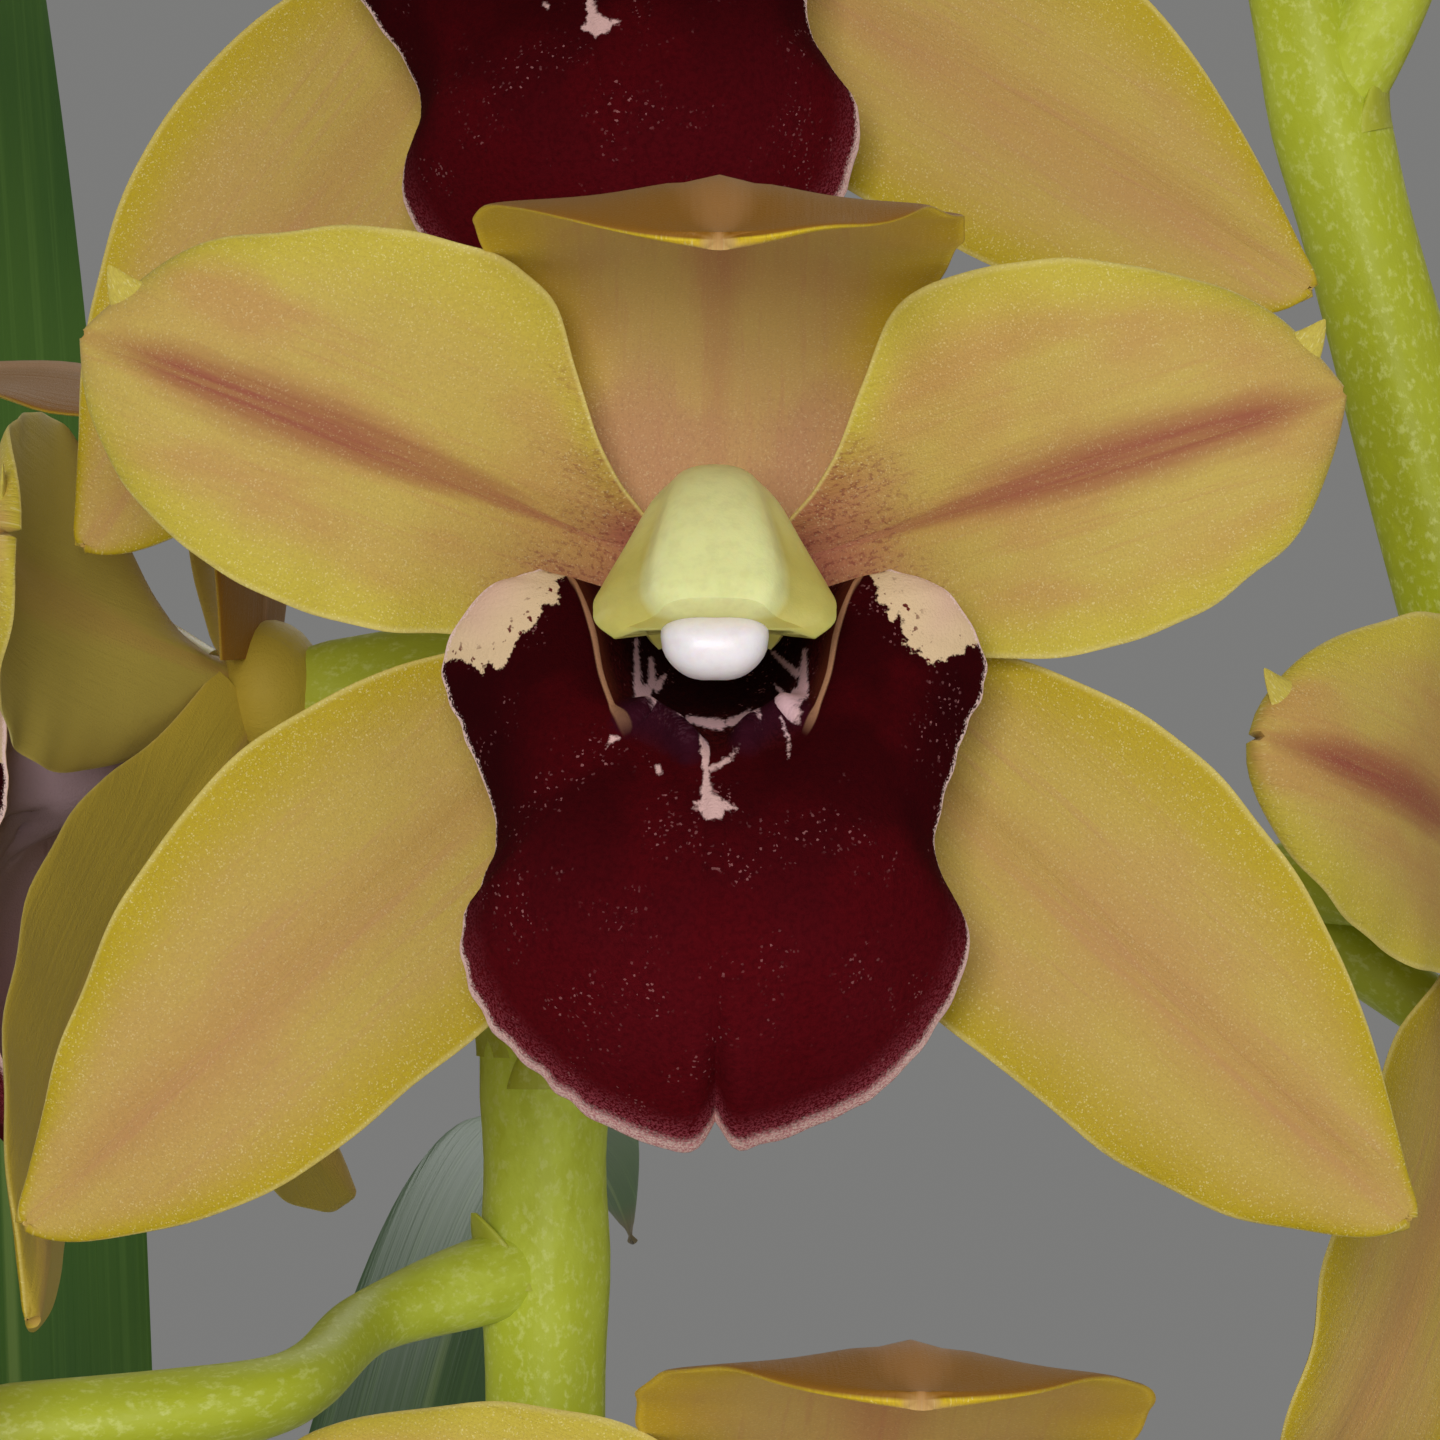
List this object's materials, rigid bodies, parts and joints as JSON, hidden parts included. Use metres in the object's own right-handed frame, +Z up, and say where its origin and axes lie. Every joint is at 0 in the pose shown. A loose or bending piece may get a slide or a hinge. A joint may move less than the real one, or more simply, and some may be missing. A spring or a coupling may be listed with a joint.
{
  "type": "potted cymbidium orchid",
  "caption": "Cymbidium orchid in a plain round clay pot, with arching strap leaves and upright flower spikes of ochre blooms with a dark maroon lip.",
  "frame": {"origin": "centre of the pot's underside, on the surface that it stands on", "axes": "+Z up, +X to the viewer's right, -Y towards the viewer whom the main bloom faces"},
  "size_m": [0.7678, 0.6259, 0.666],
  "materials": {
    "terracotta": "dry unglazed clay",
    "bark": "rough dry bark chips",
    "foliage": "waxy leaf, finely ribbed",
    "bulb": "green pseudobulb with dry papery sheaths",
    "flower_stem": "satin yellow-green stem with pale mottling",
    "tepal": "ochre yellow flushed rose, finely crystalline",
    "lip": "velvety maroon with a thin pale rim and cream lobe tips",
    "column": "waxy pale yellow-green",
    "anther_cap": "waxy white with a pink tint"
  },
  "bodies": {
    "root": {"pot": "terracotta", "bark_mix": "bark", "growth_1": "foliage", "growth_2": "foliage", "growth_3": "foliage", "growth_4": "foliage", "back_bulb": "bulb", "spike_a_stem": "flower_stem", "spike_b_stem": "flower_stem", "bloom_01_tepals": "tepal", "bloom_01_lip": "lip", "bloom_01_column": "column", "bloom_01_cap": "anther_cap", "bloom_02_tepals": "tepal", "bloom_02_lip": "lip", "bloom_02_column": "column", "bloom_02_cap": "anther_cap", "bloom_03_tepals": "tepal", "bloom_03_lip": "lip", "bloom_03_column": "column", "bloom_03_cap": "anther_cap", "bloom_04_tepals": "tepal", "bloom_04_lip": "lip", "bloom_04_column": "column", "bloom_04_cap": "anther_cap", "bloom_05_tepals": "tepal", "bloom_05_lip": "lip", "bloom_05_column": "column", "bloom_05_cap": "anther_cap", "bloom_06_tepals": "tepal", "bloom_06_lip": "lip", "bloom_06_column": "column", "bloom_06_cap": "anther_cap", "bloom_07_tepals": "tepal", "bloom_07_lip": "lip", "bloom_07_column": "column", "bloom_07_cap": "anther_cap", "bloom_08_tepals": "tepal", "bloom_08_lip": "lip", "bloom_08_column": "column", "bloom_08_cap": "anther_cap", "bloom_09_tepals": "tepal", "bloom_09_lip": "lip", "bloom_09_column": "column", "bloom_09_cap": "anther_cap", "bloom_10_tepals": "tepal", "bloom_10_lip": "lip", "bloom_10_column": "column", "bloom_10_cap": "anther_cap", "bloom_11_tepals": "tepal", "bloom_11_lip": "lip", "bloom_11_column": "column", "bloom_11_cap": "anther_cap", "bloom_12_tepals": "tepal", "bloom_12_lip": "lip", "bloom_12_column": "column", "bloom_12_cap": "anther_cap"}
  },
  "joints": []
}
